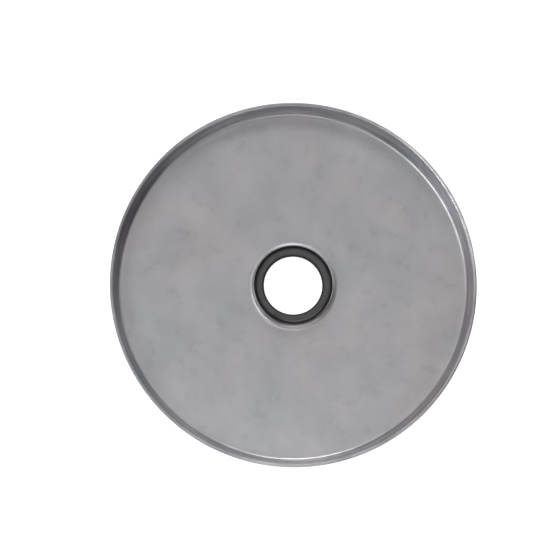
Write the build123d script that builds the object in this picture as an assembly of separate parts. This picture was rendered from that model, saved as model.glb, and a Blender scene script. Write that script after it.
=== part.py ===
from build123d import *
import os
from math import cos, radians, tan

# A round blanking cap pressed from one steel sheet: a flat floor, a rim turned up round its edge,
# and a collar drawn up round the central hole. A rubber lip seal is pressed into the collar.
# Everything is a body of revolution about Z. The underside of the floor lies on Z = 0.

# Sheet-metal cap, mm
RIM_DIAMETER = 219.1        # over the mouth of the rim before its edge is rounded, as a DN 200 steel pipe
CAP_HEIGHT = 14.5           # underside of the floor to the mouth of the rim
SHEET = 2.0                 # sheet thickness
RIM_DRAFT = 14.5            # the rim leans outwards, degrees from upright
RIM_BEND = 1.5              # inside radius between floor and rim
RIM_OUTER_ROUND = 0.7       # rounding of the trimmed mouth, outside
RIM_INNER_ROUND = 0.9       # rounding of the trimmed mouth, inside
COLLAR_HEIGHT = 9.0         # underside of the floor to the top of the collar
COLLAR_TOP_GAUGE = 0.6      # the collar is drawn thin and bored out to take the seal
COLLAR_BASE_GAUGE = 0.9     # and is thicker at its foot
COLLAR_BEND = 0.9           # radius at the collar's foot, upper side
SWELL_RADIUS = 26.0         # drawing the collar also lifts the floor beside it, from here
SWELL_HEIGHT = 0.8          # up to this much at the collar's foot
SWELL_ROUND = 5.0           # radius between the flat floor and that lift
COLLAR_UNDER_BEND = 2.2     # radius between underside and collar bore
COLLAR_INNER_ROUND = 0.15   # rounding of the collar's top edge, inside
COLLAR_OUTER_ROUND = 0.35   # rounding of the collar's top edge, outside

# Shaft seal, mm: the 35 x 47 x 7 size of the rubber-covered ring type
SHAFT_DIAMETER = 35.0
SEAL_DIAMETER = 47.0
SEAL_WIDTH = 7.0
SEAL_BOTTOM = 0.2           # the seal's lower end stands just clear of the underside

# Rubber section of the seal, mm
EDGE_CHAMFER_WIDTH = 1.5    # lead-in round the outer edge of the upper face
EDGE_CHAMFER_DEPTH = 1.6
FACE_INNER_RADIUS = 18.9    # where the flat upper face turns down to the lip
LIP_DEPTH = 2.6             # upper face to the start of the sealing land
LIP_LAND = 1.5              # length of the sealing land
HEEL_RADIUS = 18.5          # bottom of the lip, inside
HEEL_TOP_RADIUS = 19.8      # bottom of the lip, outside
HEEL_HEIGHT = 0.6           # lip's lowest point above the seal's lower end
NECK_RADIUS = 19.3          # thinnest place of the lip's arm, outside
NECK_DEPTH = 3.0
ROOT_RADIUS = 20.2          # where the lip's arm joins the flange of rubber
WEB_DEPTH = 2.3             # thickness of the rubber under the upper face
SKIRT_INNER_RADIUS = 21.7   # inside of the outer sleeve
SKIRT_CHAMFER_WIDTH = 0.5   # lead-in at the lower outer edge
SKIRT_CHAMFER_HEIGHT = 0.7

# Steel angle ring bonded into the rubber, mm
STIFFENER_GAUGE = 0.7
STIFFENER_TOP_COVER = 1.3   # rubber over its flange
STIFFENER_FOOT_COVER = 0.6  # rubber under its sleeve
STIFFENER_INNER_RADIUS = 19.9

# Garter spring, mm
SPRING_RING_RADIUS = 20.45  # centre line of the closed coil
SPRING_COIL_RADIUS = 0.75
SPRING_HEIGHT = 1.75        # centre line above the seal's lower end

rim_radius = RIM_DIAMETER / 2
collar_bore = SEAL_DIAMETER / 2
seal_top = SEAL_BOTTOM + SEAL_WIDTH


def ring(section):
    """Turn a flat XZ section once round the Z axis."""
    return revolve(section, axis=Axis.Z, revolution_arc=360)


def section_face(points, radii):
    """Closed XZ face through (radius, height) points, each corner rounded by its own radius."""
    corners = [(radius, 0, height) for radius, height in points]
    return make_face(FilletPolyline(*corners, radius=radii, close=True))


def straight_face(points):
    """Closed XZ face with sharp corners."""
    corners = [(radius, 0, height) for radius, height in points]
    return make_face(Polyline(*corners, close=True))


def cap_shell():
    """One sheet: collar, floor and drafted rim."""
    lean = tan(radians(RIM_DRAFT))
    mouth_width = SHEET / cos(radians(RIM_DRAFT))
    mouth_inner = rim_radius - mouth_width
    points = [
        (collar_bore, COLLAR_HEIGHT),
        (collar_bore, 0),
        (rim_radius - CAP_HEIGHT * lean, 0),
        (rim_radius, CAP_HEIGHT),
        (mouth_inner, CAP_HEIGHT),
        (mouth_inner - (CAP_HEIGHT - SHEET) * lean, SHEET),
        (SWELL_RADIUS, SHEET),
        (collar_bore + COLLAR_BASE_GAUGE, SHEET + SWELL_HEIGHT),
        (collar_bore + COLLAR_TOP_GAUGE, COLLAR_HEIGHT),
    ]
    radii = [
        COLLAR_INNER_ROUND,
        COLLAR_UNDER_BEND,
        RIM_BEND + SHEET,
        RIM_OUTER_ROUND,
        RIM_INNER_ROUND,
        RIM_BEND,
        SWELL_ROUND,
        COLLAR_BEND,
        COLLAR_OUTER_ROUND,
    ]
    return ring(section_face(points, radii))


def seal_stiffener_ring():
    """Steel angle: a sleeve with a flange turned inwards under the seal's upper face."""
    outer = SKIRT_INNER_RADIUS + STIFFENER_GAUGE
    flange_top = seal_top - STIFFENER_TOP_COVER
    flange_bottom = flange_top - STIFFENER_GAUGE
    foot = SEAL_BOTTOM + STIFFENER_FOOT_COVER
    points = [
        (SKIRT_INNER_RADIUS, foot),
        (outer, foot),
        (outer, flange_top),
        (STIFFENER_INNER_RADIUS, flange_top),
        (STIFFENER_INNER_RADIUS, flange_bottom),
        (SKIRT_INNER_RADIUS, flange_bottom),
    ]
    return ring(straight_face(points))


def garter_spring():
    """Closed coil spring, drawn as the round ring that its turns fill."""
    centre = (SPRING_RING_RADIUS, 0, SEAL_BOTTOM + SPRING_HEIGHT)
    section = Plane(origin=centre, z_dir=(0, 1, 0)) * Circle(SPRING_COIL_RADIUS)
    return ring(section)


def seal_body(stiffener, spring):
    """Rubber ring with a lip, less the steel ring inside it and the groove of the spring."""
    outer = SEAL_DIAMETER / 2
    lip = SHAFT_DIAMETER / 2
    land_top = seal_top - LIP_DEPTH
    heel = SEAL_BOTTOM + HEEL_HEIGHT
    web = seal_top - WEB_DEPTH
    points = [
        (outer, SEAL_BOTTOM + SKIRT_CHAMFER_HEIGHT),
        (outer, seal_top - EDGE_CHAMFER_DEPTH),
        (outer - EDGE_CHAMFER_WIDTH, seal_top),
        (FACE_INNER_RADIUS, seal_top),
        (lip, land_top),
        (lip, land_top - LIP_LAND),
        (HEEL_RADIUS, heel),
        (HEEL_TOP_RADIUS, heel),
        (NECK_RADIUS, seal_top - NECK_DEPTH),
        (ROOT_RADIUS, web),
        (SKIRT_INNER_RADIUS, web),
        (SKIRT_INNER_RADIUS, SEAL_BOTTOM),
        (outer - SKIRT_CHAMFER_WIDTH, SEAL_BOTTOM),
    ]
    return ring(straight_face(points)) - stiffener - spring


def main():
    os.makedirs("parts", exist_ok=True)
    stiffener = seal_stiffener_ring()
    spring = garter_spring()
    export_step(cap_shell(), "parts/cap_shell.step")
    export_step(seal_body(stiffener, spring), "parts/seal_body.step")
    export_step(stiffener, "parts/seal_stiffener_ring.step")
    export_step(spring, "parts/garter_spring.step")


main()
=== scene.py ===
from math import cos, exp, pi, radians, sin, tan

import bmesh
import bpy
from mathutils import Matrix, Vector, noise


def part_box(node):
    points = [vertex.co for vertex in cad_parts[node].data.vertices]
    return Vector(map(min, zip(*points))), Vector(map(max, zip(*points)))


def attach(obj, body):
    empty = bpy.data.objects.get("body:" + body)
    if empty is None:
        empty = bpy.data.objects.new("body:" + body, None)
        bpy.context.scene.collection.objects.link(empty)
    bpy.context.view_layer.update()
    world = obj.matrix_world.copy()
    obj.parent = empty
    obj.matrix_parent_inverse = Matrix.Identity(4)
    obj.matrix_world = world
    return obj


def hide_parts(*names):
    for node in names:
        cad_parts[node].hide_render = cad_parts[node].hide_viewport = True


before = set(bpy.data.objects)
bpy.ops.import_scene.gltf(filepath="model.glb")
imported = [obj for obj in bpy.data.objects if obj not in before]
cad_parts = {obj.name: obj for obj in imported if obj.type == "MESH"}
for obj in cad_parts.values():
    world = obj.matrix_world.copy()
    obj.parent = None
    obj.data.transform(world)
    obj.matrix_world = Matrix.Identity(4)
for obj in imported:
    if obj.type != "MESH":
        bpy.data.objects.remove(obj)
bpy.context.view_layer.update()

MM = 0.001
SCENE = bpy.context.scene

# ---------------------------------------------------------------------------
# Sizes, in metres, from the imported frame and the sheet's own gauge
# ---------------------------------------------------------------------------
_, cap_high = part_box("cap_shell")
seal_low, seal_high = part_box("seal_body")
spring_low, spring_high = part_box("garter_spring")
stiffener_low, stiffener_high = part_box("seal_stiffener_ring")

CAP_HEIGHT = cap_high.z
RIM_RADIUS = 109.55 * MM        # mouth of the rim before its edge is rounded
SHEET = 2.0 * MM
RIM_DRAFT = radians(14.5)
RIM_BEND = 1.5 * MM
COLLAR_BORE = seal_high.x
COLLAR_HEIGHT = 9.0 * MM
COLLAR_TOP_GAUGE = 0.6 * MM
COLLAR_BASE_GAUGE = 0.9 * MM
COLLAR_BEND = 0.9 * MM
COLLAR_UNDER_BEND = 2.2 * MM
COLLAR_INNER_ROUND = 0.15 * MM
COLLAR_OUTER_ROUND = 0.35 * MM
MOUTH_OUTER_ROUND = 0.7 * MM
MOUTH_INNER_ROUND = 0.9 * MM
SWELL_RADIUS = 26.0 * MM        # the floor rises a little round the collar
SWELL_HEIGHT = 0.8 * MM
SWELL_ROUND = 5 * MM
CORNER_TO_FLOOR = 1.15 * MM     # the bend begins this far inside the wall's sharp corner
MOUTH_INNER = RIM_RADIUS - SHEET / cos(RIM_DRAFT)
FLOOR_EDGE = MOUTH_INNER - (CAP_HEIGHT - SHEET) * tan(RIM_DRAFT) - CORNER_TO_FLOOR

LIP_RADIUS = 17.5 * MM          # the seal, from its middle outwards
LIP_SHOULDER = 18.9 * MM
HEEL_RADIUS = 18.5 * MM
LIP_BACK = 19.8 * MM
SPRING_SEAT = 19.3 * MM
POCKET_INNER = 20.2 * MM
SKIRT_RADIUS = 21.7 * MM
STIFFENER_FOOT = 19.9 * MM
MOULDING_LINES = (21.2 * MM, 20.35 * MM, 19.75 * MM)
MOULDING_DEPTH = 0.09 * MM
MOULDING_WIDTH = 0.12 * MM      # half the width of one line
SEAL_CHAMFER = 1.5 * MM
SEAL_CHAMFER_HEIGHT = 1.6 * MM
BEAD_IN = 1.68 * MM             # the bead beside the chamfer, in from the outside of the seal
BEAD_HEIGHT = 0.18 * MM
LIP_TOP = 2.6 * MM              # depths below the top of the seal
LIP_BOTTOM = 4.1 * MM
SPRING_SEAT_DEPTH = 3.0 * MM
POCKET_DEPTH = 2.3 * MM
HEEL_RISE = 0.6 * MM
WIRE_RADIUS = 0.16 * MM

SHELL_SEGMENTS = 640
SEAL_SEGMENTS = 256


# ---------------------------------------------------------------------------
# Geometry helpers
# ---------------------------------------------------------------------------
def rounded_outline(corners, arc_steps):
    """Closed outline of (radius, height) points; each corner is (radius, height, rounding)."""
    outline = []
    count = len(corners)
    for i, (r, z, rounding) in enumerate(corners):
        here = Vector((r, z))
        before = (Vector(corners[i - 1][:2]) - here).normalized()
        after = (Vector(corners[(i + 1) % count][:2]) - here).normalized()
        if rounding <= 0:
            outline.append(here)
            continue
        half = before.angle(after) / 2
        reach = rounding / tan(half)
        centre = here + (before + after).normalized() * (rounding / sin(half))
        start = here + before * reach - centre
        end = here + after * reach - centre
        for step in range(arc_steps + 1):
            t = step / arc_steps
            spoke = start.slerp(end, t) if start.angle(end) > 1e-6 else start
            outline.append(centre + spoke.normalized() * rounding)
    return outline


def subdivided(outline, longest):
    """The closed outline with no side longer than that."""
    dense = []
    for i, point in enumerate(outline):
        following = outline[(i + 1) % len(outline)]
        pieces = max(1, int((following - point).length / longest + 0.999))
        dense += [point.lerp(following, k / pieces) for k in range(pieces)]
    return dense


def lathe(name, outline, segments, warp=None):
    """Turns a closed outline once round Z into one closed, smooth mesh."""
    rows = len(outline)
    verts = []
    for s in range(segments):
        angle = 2 * pi * s / segments
        for point in outline:
            r, z = (point.x, point.y) if warp is None else warp(point.x, point.y, angle)
            verts.append((r * cos(angle), r * sin(angle), z))
    faces = []
    for s in range(segments):
        here, beyond = s * rows, ((s + 1) % segments) * rows
        for k in range(rows):
            up = (k + 1) % rows
            faces.append((here + k, here + up, beyond + up, beyond + k))
    mesh = bpy.data.meshes.new(name)
    mesh.from_pydata(verts, [], faces)
    mesh.validate()
    mesh.update()
    mesh.shade_smooth()
    piece = bpy.data.objects.new(name, mesh)
    SCENE.collection.objects.link(piece)
    return piece


def outward(piece):
    """Makes the closed mesh's faces point outwards."""
    bm = bmesh.new()
    bm.from_mesh(piece.data)
    bmesh.ops.recalc_face_normals(bm, faces=bm.faces)
    if bm.calc_volume(signed=True) < 0:
        bmesh.ops.reverse_faces(bm, faces=bm.faces)
    bm.to_mesh(piece.data)
    bm.free()


def keep(piece, node, material):
    """Puts the piece in the frame in place of its CAD node."""
    outward(piece)
    piece.data.materials.append(material)
    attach(piece, "root")
    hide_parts(node)
    return piece


# ---------------------------------------------------------------------------
# The pressed shell
# ---------------------------------------------------------------------------
FLOOR_WAVE = 0.10 * MM          # how far the pressed floor is out of flat
WAVE_PITCH = 34 * MM
RIPPLE_SHARE = 0.45             # a finer ripple on the wave, this high against it
RIPPLE_PITCH = WAVE_PITCH / 2.3
WAVE_MIDDLE = 0.5               # the floor is lifted this share of the wave at rest,
WAVE_SWING = 0.34               # and swings by this share with the noise
RIM_FADE = 12 * MM              # the wave dies out over these widths at the rim and the collar
COLLAR_FADE = 8 * MM
COLLAR_CLEAR = 4 * MM
FAULT_REACH = 3.2 * MM          # how far inwards and outwards of the bend a fault is felt
FAULT_TOP = RIM_BEND + 2.5 * SHEET
FAULT_FADE = 3 * MM

# Small faults of the bend line: angle in degrees, reach in degrees, shift of the bend outwards
BEND_FAULTS = (
    (-4.5, 3.0, 0.15 * MM),
    (-30.0, 2.2, -0.22 * MM),
    (28.0, 7.0, 0.12 * MM),
    (74.0, 2.5, -0.20 * MM),
    (116.5, 2.0, -0.30 * MM),
    (133.0, 3.5, 0.22 * MM),
    (208.0, 2.6, -0.28 * MM),
    (262.0, 6.0, 0.12 * MM),
)


def turn_between(a, b):
    """Smallest turn from a to b, in degrees."""
    return (b - a + 180) % 360 - 180


def bend_fault(angle):
    degrees = angle * 180 / pi
    shift = 0.0
    for centre, reach, size in BEND_FAULTS:
        shift += size * exp(-(turn_between(centre, degrees) / reach) ** 2)
    return shift


def smooth(t):
    t = min(1.0, max(0.0, t))
    return t * t * (3 - 2 * t)


def wave_at(x, y, pitch, seed):
    return noise.noise(Vector((x / pitch, y / pitch, seed)))


def shell_warp(r, z, angle):
    """A pressed sheet isn't quite flat or round: slow waves in the floor, small faults at the bend."""
    x, y = r * cos(angle), r * sin(angle)
    off_rim = smooth((FLOOR_EDGE - r) / RIM_FADE)
    off_collar = smooth((r - COLLAR_BORE - COLLAR_CLEAR) / COLLAR_FADE)
    wave = wave_at(x, y, WAVE_PITCH, 3.1) + RIPPLE_SHARE * wave_at(x, y, RIPPLE_PITCH, 8.7)
    lift = FLOOR_WAVE * (WAVE_MIDDLE + WAVE_SWING * wave) * off_rim * off_collar
    above_underside = smooth((z - 0.7 * SHEET) / (0.3 * SHEET))
    near_bend = exp(-((r - FLOOR_EDGE) / FAULT_REACH) ** 2) * above_underside
    low = smooth((FAULT_TOP - z) / FAULT_FADE)
    return r + bend_fault(angle) * near_bend * low, z + lift


def make_shell():
    lean = tan(RIM_DRAFT)
    corners = [
        (COLLAR_BORE, COLLAR_HEIGHT, COLLAR_INNER_ROUND),
        (COLLAR_BORE, 0, COLLAR_UNDER_BEND),
        (RIM_RADIUS - CAP_HEIGHT * lean, 0, RIM_BEND + SHEET),
        (RIM_RADIUS, CAP_HEIGHT, MOUTH_OUTER_ROUND),
        (MOUTH_INNER, CAP_HEIGHT, MOUTH_INNER_ROUND),
        (MOUTH_INNER - (CAP_HEIGHT - SHEET) * lean, SHEET, RIM_BEND),
        (SWELL_RADIUS, SHEET, SWELL_ROUND),
        (COLLAR_BORE + COLLAR_BASE_GAUGE, SHEET + SWELL_HEIGHT, COLLAR_BEND),
        (COLLAR_BORE + COLLAR_TOP_GAUGE, COLLAR_HEIGHT, COLLAR_OUTER_ROUND),
    ]
    outline = subdivided(rounded_outline(corners, 10), 1.6 * MM)
    shell = lathe("shell_pressing", outline, SHELL_SEGMENTS, shell_warp)
    return keep(shell, "cap_shell", sheet_steel())


# ---------------------------------------------------------------------------
# The seal
# ---------------------------------------------------------------------------
def moulding_line(centre, top):
    """A shallow groove in the top of the seal, as three corners from outside to inside."""
    soft = 0.03 * MM
    return [
        (centre + MOULDING_WIDTH, top, soft),
        (centre, top - MOULDING_DEPTH, soft),
        (centre - MOULDING_WIDTH, top, soft),
    ]


def make_seal_rubber():
    top, bottom, outer = seal_high.z, seal_low.z, seal_high.x
    small = 0.1 * MM
    corners = [
        (outer, bottom + 0.7 * MM, 0.12 * MM),
        (outer, top - SEAL_CHAMFER_HEIGHT, 0.15 * MM),
        (outer - SEAL_CHAMFER, top, 0.12 * MM),
        (outer - BEAD_IN, top + BEAD_HEIGHT, 0.06 * MM),
        (outer - 1.85 * MM, top, 0.08 * MM),
    ]
    for centre in MOULDING_LINES:
        corners += moulding_line(centre, top)
    corners += [
        (LIP_SHOULDER, top, 0.25 * MM),
        (LIP_RADIUS, top - LIP_TOP, small),
        (LIP_RADIUS, top - LIP_BOTTOM, small),
        (HEEL_RADIUS, bottom + HEEL_RISE, small),
        (LIP_BACK, bottom + HEEL_RISE, small),
        (SPRING_SEAT, top - SPRING_SEAT_DEPTH, 0.2 * MM),
        (POCKET_INNER, top - POCKET_DEPTH, 0.2 * MM),
        (SKIRT_RADIUS, top - POCKET_DEPTH, 0.0),
        (SKIRT_RADIUS, bottom, small),
        (outer - 0.5 * MM, bottom, small),
    ]
    outline = subdivided(rounded_outline(corners, 4), 0.8 * MM)
    rubber = lathe("seal_rubber", outline, SEAL_SEGMENTS)
    return keep(rubber, "seal_body", seal_rubber())


def make_stiffener():
    """The steel angle ring, seen only from below, in the seal's open side."""
    inner, outer = SKIRT_RADIUS, stiffener_high.x
    foot, top = stiffener_low.z, stiffener_high.z
    gauge = outer - inner
    corners = [
        (inner, foot, 0.15 * MM),
        (outer, foot, 0.15 * MM),
        (outer, top, 0.3 * MM),
        (STIFFENER_FOOT, top, 0.1 * MM),
        (STIFFENER_FOOT, top - gauge, 0.1 * MM),
        (inner, top - gauge, 0.1 * MM),
    ]
    outline = subdivided(rounded_outline(corners, 4), 0.8 * MM)
    ring = lathe("stiffener_ring", outline, SEAL_SEGMENTS)
    return keep(ring, "seal_stiffener_ring", ring_steel())


def make_spring():
    """The garter spring as wound wire: a helix bent round into a closed ring."""
    coil_radius = (spring_high.z - spring_low.z) / 2
    ring_radius = spring_high.x - coil_radius
    height = (spring_high.z + spring_low.z) / 2
    turns, steps, sides = 372, 14, 6
    winding = coil_radius - WIRE_RADIUS
    verts, faces = [], []
    rings = turns * steps
    for k in range(rings):
        along, round_coil = 2 * pi * k / rings, 2 * pi * k / steps
        outwards = Vector((cos(along), sin(along), 0))
        spoke = outwards * cos(round_coil) + Vector((0, 0, sin(round_coil)))
        onward = Vector((-sin(along), cos(along), 0))
        centre = outwards * ring_radius + spoke * winding + Vector((0, 0, height))
        for j in range(sides):
            turn = 2 * pi * j / sides
            verts.append(centre + (spoke * cos(turn) + onward * sin(turn)) * WIRE_RADIUS)
    for k in range(rings):
        here, beyond = k * sides, ((k + 1) % rings) * sides
        for j in range(sides):
            nxt = (j + 1) % sides
            faces.append((here + j, here + nxt, beyond + nxt, beyond + j))
    mesh = bpy.data.meshes.new("garter_coil")
    mesh.from_pydata(verts, [], faces)
    mesh.shade_smooth()
    coil = bpy.data.objects.new("garter_coil", mesh)
    SCENE.collection.objects.link(coil)
    return keep(coil, "garter_spring", spring_steel())


# ---------------------------------------------------------------------------
# Materials
# ---------------------------------------------------------------------------
WHITE = (1, 1, 1)
BLACK = (0, 0, 0)


def grey(value):
    return (value, value, value)


class Nodes:
    """Shorthand for building one material's node tree."""

    def __init__(self, name):
        self.material = bpy.data.materials.new(name)
        self.material.use_nodes = True
        self.tree = self.material.node_tree
        self.shader = self.tree.nodes["Principled BSDF"]

    def add(self, kind, **values):
        node = self.tree.nodes.new(kind)
        for key, value in values.items():
            setattr(node, key, value)
        return node

    def link(self, source, target):
        self.tree.links.new(source, target)

    def place(self, scale=(1, 1, 1)):
        """The point on the object, in metres, stretched by scale."""
        where = self.add("ShaderNodeTexCoord")
        stretch = self.add("ShaderNodeMapping")
        stretch.inputs["Scale"].default_value = scale
        self.link(where.outputs["Object"], stretch.inputs["Vector"])
        return stretch.outputs["Vector"]

    def noise(self, vector, scale, detail, roughness):
        texture = self.add("ShaderNodeTexNoise")
        texture.inputs["Scale"].default_value = scale
        texture.inputs["Detail"].default_value = detail
        texture.inputs["Roughness"].default_value = roughness
        self.link(vector, texture.inputs["Vector"])
        return texture.outputs["Fac"]

    def ramp(self, value, stops):
        """Maps a value through (position, colour) stops."""
        ramp = self.add("ShaderNodeValToRGB")
        elements = ramp.color_ramp.elements
        while len(elements) < len(stops):
            elements.new(0.5)
        for element, (position, colour) in zip(elements, stops):
            element.position = position
            element.color = (*colour, 1)
        self.link(value, ramp.inputs["Fac"])
        return ramp.outputs["Color"]

    def math(self, operation, a, b):
        node = self.add("ShaderNodeMath", operation=operation)
        for socket, value in zip(node.inputs, (a, b)):
            if isinstance(value, (int, float)):
                socket.default_value = value
            else:
                self.link(value, socket)
        return node.outputs[0]

    def mix(self, factor, a, b, blend="MIX"):
        node = self.add("ShaderNodeMix", data_type="RGBA", blend_type=blend)
        for socket, value in ((node.inputs[0], factor), (node.inputs[6], a), (node.inputs[7], b)):
            if isinstance(value, (int, float)):
                socket.default_value = value
            elif isinstance(value, tuple):
                socket.default_value = (*value, 1)
            else:
                self.link(value, socket)
        return node.outputs[2]

    def bump(self, height, distance, strength, normal=None):
        node = self.add("ShaderNodeBump")
        node.inputs["Distance"].default_value = distance
        node.inputs["Strength"].default_value = strength
        self.link(height, node.inputs["Height"])
        if normal is not None:
            self.link(normal, node.inputs["Normal"])
        return node.outputs["Normal"]


STEEL_DARK = (0.475, 0.467, 0.483)
STEEL_LIGHT = (0.572, 0.560, 0.572)
# Painted highlight for the bend and the mouth of the rim.
STEEL_PAINTED_HIGHLIGHT = (0.74, 0.74, 0.75)
# Painted shade for the collar's thin top.
STEEL_PAINTED_SHADE = grey(0.09)
# Painted shade for the rim's wall and the bend.
PAINTED_SHADE_TINT = (0.73, 0.72, 0.74)
# Painted light for one side of the steel.
PAINTED_LIGHT_TINT = (1.07, 1.07, 1.06)


def sheet_steel():
    """Mill-finish sheet: cloudy patches, faint rolling grain, fine specks, draw streaks, and painted
    light, shade and highlights on some sides.
    """
    n = Nodes("sheet_steel")
    shader = n.shader
    shader.inputs["Metallic"].default_value = 1.0
    place = n.place()
    clouds = n.noise(place, scale=38, detail=5, roughness=0.55)
    blots = n.noise(place, scale=110, detail=3, roughness=0.6)
    tint = n.noise(place, scale=17, detail=2, roughness=0.5)
    grain = n.noise(n.place((1, 9, 1)), scale=260, detail=3, roughness=0.6)
    specks = n.noise(place, scale=900, detail=2, roughness=0.6)
    streaks = n.noise(n.place((1, 1, 14)), scale=22, detail=3, roughness=0.6)
    base = n.ramp(clouds, [(0.30, STEEL_DARK), (0.70, STEEL_LIGHT)])
    spots = n.ramp(blots, [(0.28, (0.90, 0.90, 0.91)), (0.42, WHITE), (0.8, grey(1.03))])
    warm = n.ramp(tint, [(0.38, (0.970, 1.0, 1.02)), (0.62, (1.02, 1.0, 1.0))])
    fine = n.ramp(grain, [(0.3, grey(0.97)), (0.7, grey(1.02))])
    for layer in (spots, warm, fine):
        base = n.mix(1.0, base, layer, "MULTIPLY")
    # Draw streaks on the rim's wall; they also darken the whole wall a little, as painted shade.
    streaks_and_shade = n.ramp(streaks, [(0.40, (0.74, 0.74, 0.75)), (0.60, grey(1.06))])
    base = n.mix(on_wall(n, place), base, n.mix(1.0, base, streaks_and_shade, "MULTIPLY"))
    # Painted light: the steel is lighter towards one side.
    front = towards(n, place, PAINTED_LIGHT_SIDE, RIM_RADIUS, 0.55, 0.95)
    base = n.mix(front, base, n.mix(1.0, base, PAINTED_LIGHT_TINT, "MULTIPLY"))
    # Painted shade on the rim's wall and on the bend, each on one side.
    base = n.mix(painted_shade(n, place), base, n.mix(1.0, base, PAINTED_SHADE_TINT, "MULTIPLY"))
    # Painted highlight along the bend and the mouth on some sides; the same mask also makes the steel
    # smoother there.
    painted_highlight = painted_highlight_mask(n, place, blots)
    base = n.mix(painted_highlight, base, STEEL_PAINTED_HIGHLIGHT)
    # Painted shade on the collar's thin top, on one side.
    base = n.mix(painted_collar_shade(n, place), base, STEEL_PAINTED_SHADE)
    n.link(base, shader.inputs["Base Color"])
    rough = n.math("MULTIPLY_ADD", clouds, 0.16)
    rough.node.inputs[2].default_value = 0.36
    less = n.math("MULTIPLY", painted_highlight, 0.16)
    n.link(n.math("SUBTRACT", rough, less), shader.inputs["Roughness"])
    normal = n.bump(specks, distance=0.04 * MM, strength=0.35)
    normal = n.bump(grain, distance=0.05 * MM, strength=0.25, normal=normal)
    n.link(normal, shader.inputs["Normal"])
    return n.material


# Painted light, painted shade and painted highlights that differ from side to side. Where they are
# and how strong is known only from how the part looks from above, and what caused them isn't
# known.
WALL_SHADE_SIDE = radians(150)                     # painted shade on the rim's wall here
BEND_SHADE_SIDE = radians(105)                     # painted shade on the bend here
PAINTED_LIGHT_SIDE = radians(265)                      # painted light: the steel is a little lighter here
HIGHLIGHT_SIDES = (radians(30), radians(272))        # painted highlight on the bend here, on the mouth only at the first
COLLAR_SHADE_SIDE = radians(270)                 # painted shade on the collar's thin top here
BEAD_HIGHLIGHT_SIDE = radians(285)                   # painted highlight on the seal's bead here


def height_of(n, place):
    parts = n.add("ShaderNodeSeparateXYZ")
    n.link(place, parts.inputs[0])
    return parts.outputs["Z"]


def radius_of(n, place):
    """Distance from the axis."""
    flat = n.add("ShaderNodeVectorMath", operation="MULTIPLY")
    flat.inputs[1].default_value = (1, 1, 0)
    n.link(place, flat.inputs[0])
    length = n.add("ShaderNodeVectorMath", operation="LENGTH")
    n.link(flat.outputs["Vector"], length.inputs[0])
    return length.outputs["Value"]


def on_wall(n, place):
    """1 on the rim's wall, 0 on the floor."""
    height = n.math("DIVIDE", height_of(n, place), CAP_HEIGHT)
    return n.ramp(height, [(0.2, BLACK), (0.3, WHITE)])


def band(n, value, centre, width):
    """1 near the centre value, 0 beyond that width from it."""
    away = n.math("ABSOLUTE", n.math("SUBTRACT", value, centre), 0)
    return n.ramp(n.math("DIVIDE", away, width), [(0.35, WHITE), (1.0, BLACK)])


def towards(n, place, angle, reach, start, full):
    """0 to 1 as the point lies further towards that side, measured as a share of reach."""
    dot = n.add("ShaderNodeVectorMath", operation="DOT_PRODUCT")
    dot.inputs[1].default_value = (cos(angle) / reach, sin(angle) / reach, 0)
    n.link(place, dot.inputs[0])
    return n.ramp(dot.outputs["Value"], [(start, BLACK), (full, WHITE)])


def both(n, a, b):
    return n.mix(1.0, a, b, "MULTIPLY")


def either(n, a, b):
    return n.mix(1.0, a, b, "LIGHTEN")


def painted_shade(n, place):
    """Painted shade on the wall and the bend, each on one side only."""
    radius = radius_of(n, place)
    share = n.math("DIVIDE", radius, RIM_RADIUS)
    edge = FLOOR_EDGE / RIM_RADIUS
    wall = n.ramp(share, [(edge - 0.002, BLACK), (edge + 0.006, WHITE)])
    wall = both(n, wall, towards(n, place, WALL_SHADE_SIDE, RIM_RADIUS, 0.915, 0.945))
    bend = band(n, radius, FLOOR_EDGE + 0.4 * MM, 1.1 * MM)
    bend = both(n, bend, towards(n, place, BEND_SHADE_SIDE, RIM_RADIUS, 0.72, 0.90))
    return either(n, wall, bend)


def painted_highlight_mask(n, place, patches):
    """Painted highlight on the bend on two sides and on the mouth of the rim on one, in patches."""
    height = height_of(n, place)
    bend = band(n, radius_of(n, place), FLOOR_EDGE + 0.5 * MM, 0.9 * MM)
    low = band(n, height, SHEET, 1.6 * MM)
    mouth = band(n, height, CAP_HEIGHT, 1.2 * MM)
    first, second = (towards(n, place, side, RIM_RADIUS, 0.80, 0.93) for side in HIGHLIGHT_SIDES)
    painted_highlight = both(n, both(n, bend, low), either(n, first, second))
    painted_highlight = either(n, painted_highlight, both(n, mouth, first))
    return both(n, painted_highlight, n.ramp(patches, [(0.35, grey(0.55)), (0.6, WHITE)]))


def painted_collar_shade(n, place):
    """Painted shade on the thin top of the collar, on one side."""
    top = band(n, height_of(n, place), COLLAR_HEIGHT, 1.2 * MM)
    top = both(n, top, band(n, radius_of(n, place), COLLAR_BORE, 1.4 * MM))
    return both(n, top, towards(n, place, COLLAR_SHADE_SIDE, COLLAR_BORE, 0.25, 0.85))


RUBBER_DARK = (0.066, 0.066, 0.068)
RUBBER_LIGHT = (0.094, 0.094, 0.095)
# Painted highlight for the seal's bead.
RUBBER_PAINTED_HIGHLIGHT = grey(0.19)

# Radius and painted shade of the seal's top, from the lip out to the chamfer
SEAL_PAINTED_SHADE = ((18.0 * MM, 0.30), (18.7 * MM, 1.0), (20.6 * MM, 1.0), (22.2 * MM, 0.55))


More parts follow.
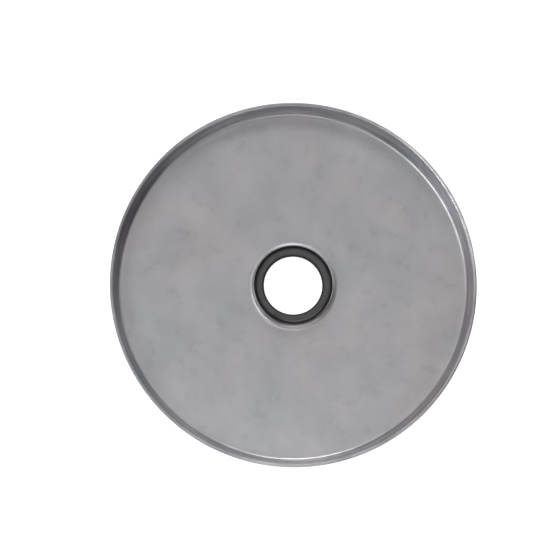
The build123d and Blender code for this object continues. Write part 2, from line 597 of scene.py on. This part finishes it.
def seal_rubber():
    """Moulded black rubber with a faint bloom, painted shade at the lip and at the chamfer, and a
    painted highlight on the bead on one side.
    """
    n = Nodes("seal_rubber")
    shader = n.shader
    shader.inputs["Metallic"].default_value = 0.0
    place = n.place()
    bloom = n.noise(place, scale=210, detail=4, roughness=0.6)
    base = n.ramp(bloom, [(0.3, RUBBER_DARK), (0.7, RUBBER_LIGHT)])
    radius = radius_of(n, place)
    across = n.math("DIVIDE", radius, COLLAR_BORE)
    # Painted shade at the lip and at the chamfer.
    shades = [(at / COLLAR_BORE, grey(shade)) for at, shade in SEAL_PAINTED_SHADE]
    base = n.mix(1.0, base, n.ramp(across, shades), "MULTIPLY")
    # Painted highlight on the seal's bead, on one side.
    bead = band(n, radius, COLLAR_BORE - 1.6 * MM, 0.6 * MM)
    bead = both(n, bead, towards(n, place, BEAD_HIGHLIGHT_SIDE, COLLAR_BORE, 0.70, 0.90))
    base = n.mix(bead, base, RUBBER_PAINTED_HIGHLIGHT)
    n.link(base, shader.inputs["Base Color"])
    rough = n.math("MULTIPLY_ADD", bloom, 0.2)
    rough.node.inputs[2].default_value = 0.42
    n.link(rough, shader.inputs["Roughness"])
    pores = n.noise(place, scale=2600, detail=2, roughness=0.5)
    n.link(n.bump(pores, distance=0.02 * MM, strength=0.3), shader.inputs["Normal"])
    return n.material


def plain_steel(name, low, high, roughness):
    """Small steel parts: slightly uneven grey metal."""
    n = Nodes(name)
    shader = n.shader
    shader.inputs["Metallic"].default_value = 1.0
    patches = n.noise(n.place(), scale=420, detail=4, roughness=0.6)
    n.link(n.ramp(patches, [(0.3, low), (0.7, high)]), shader.inputs["Base Color"])
    rough = n.math("MULTIPLY_ADD", patches, 0.2)
    rough.node.inputs[2].default_value = roughness
    n.link(rough, shader.inputs["Roughness"])
    return n.material


def ring_steel():
    return plain_steel("ring_steel", (0.20, 0.20, 0.21), grey(0.30), roughness=0.45)


def spring_steel():
    return plain_steel("spring_steel", (0.48, 0.48, 0.49), grey(0.62), roughness=0.25)


# ---------------------------------------------------------------------------
# Floor, light and camera
# ---------------------------------------------------------------------------
FLOOR_HALF = 12.0
FLOOR_GAP = 0.2 * MM            # keeps the floor clear of the underside
FLOOR_SHADE = 0.30              # what the floor reflects; the camera sees it as white


def make_floor():
    mesh = bpy.data.meshes.new("floor")
    signs = ((-1, -1), (1, -1), (1, 1), (-1, 1))
    mesh.from_pydata([(x * FLOOR_HALF, y * FLOOR_HALF, 0) for x, y in signs], [], [(0, 1, 2, 3)])
    floor = bpy.data.objects.new("floor", mesh)
    floor.location.z = -FLOOR_GAP
    SCENE.collection.objects.link(floor)
    n = Nodes("floor")
    n.shader.inputs["Base Color"].default_value = (*grey(FLOOR_SHADE), 1)
    n.shader.inputs["Roughness"].default_value = 0.9
    n.shader.inputs["Emission Color"].default_value = (1, 1, 1, 1)
    seen = n.add("ShaderNodeLightPath")
    n.link(seen.outputs["Is Camera Ray"], n.shader.inputs["Emission Strength"])
    floor.data.materials.append(n.material)


SOFTBOX_DISTANCE = 1.6
SOFTBOX_SIZE = 0.7


def softbox(name, azimuth, elevation, power):
    """An area light that looks at the part. Azimuth is counted from +X towards +Y."""
    data = bpy.data.lights.new(name, "AREA")
    data.shape = "DISK"
    data.size = SOFTBOX_SIZE
    data.energy = power
    light = bpy.data.objects.new(name, data)
    a, e = radians(azimuth), radians(elevation)
    away = Vector((cos(a) * cos(e), sin(a) * cos(e), sin(e)))
    light.location = away * SOFTBOX_DISTANCE
    light.rotation_mode = "QUATERNION"
    light.rotation_quaternion = away.to_track_quat("Z", "Y")
    SCENE.collection.objects.link(light)


# Softboxes round the part: azimuth and elevation in degrees, power in watts. The powers began as a
# least-squares fit to how the part looks from above, and were then rounded and changed.
SOFTBOXES = {
    "left_low": (185, 18, 2.5),
    "left": (205, 42, 5.5),
    "back_left": (145, 38, 3.5),
    "back": (90, 40, 6.0),
    "back_right": (50, 38, 2.0),
    "right_low": (20, 18, 2.0),
    "right": (325, 38, 0.8),
    "front_right": (295, 28, 2.8),
    "front_low": (265, 15, 4.5),
    "overhead_left": (225, 74, 1.45),
    "overhead_front": (270, 74, 1.75),
    "overhead_right": (45, 74, 1.1),
    "overhead": (90, 88, 0.3),
}


def make_light():
    world = bpy.data.worlds.new("studio")
    SCENE.world = world
    world.use_nodes = True
    world.node_tree.nodes["Background"].inputs["Strength"].default_value = 0.0
    for name, (azimuth, elevation, power) in SOFTBOXES.items():
        softbox(name, azimuth, elevation, power)


LEAN_FRONT = radians(7.1)       # the camera stands this far in front of straight above
LEAN_LEFT = radians(2.0)        # and this far to the left
CAMERA_DISTANCE = 1.6
VIEW_WIDTH = 333.4 * MM         # what the square frame takes in at the mouth of the rim
RIGHT_OF_CENTRE = 8.21 * MM     # the part stands a little right of and below the middle
BELOW_CENTRE = 2.06 * MM


def make_camera():
    data = bpy.data.cameras.new("camera")
    data.lens = data.sensor_width * CAMERA_DISTANCE / VIEW_WIDTH
    data.clip_start = 0.05
    data.clip_end = 100
    camera = bpy.data.objects.new("camera", data)
    back = Vector((-tan(LEAN_LEFT), -tan(LEAN_FRONT), 1)).normalized()
    right = Vector((0, 1, 0)).cross(back).normalized()
    up = back.cross(right)
    mouth = Vector((0, 0, CAP_HEIGHT))
    camera.location = mouth + back * CAMERA_DISTANCE - right * RIGHT_OF_CENTRE + up * BELOW_CENTRE
    camera.rotation_euler = Matrix((right, up, back)).transposed().to_euler()
    SCENE.collection.objects.link(camera)
    SCENE.camera = camera


SCENE.view_settings.view_transform = "Standard"
make_camera()
make_light()
make_floor()
make_shell()
make_seal_rubber()
make_stiffener()
make_spring()
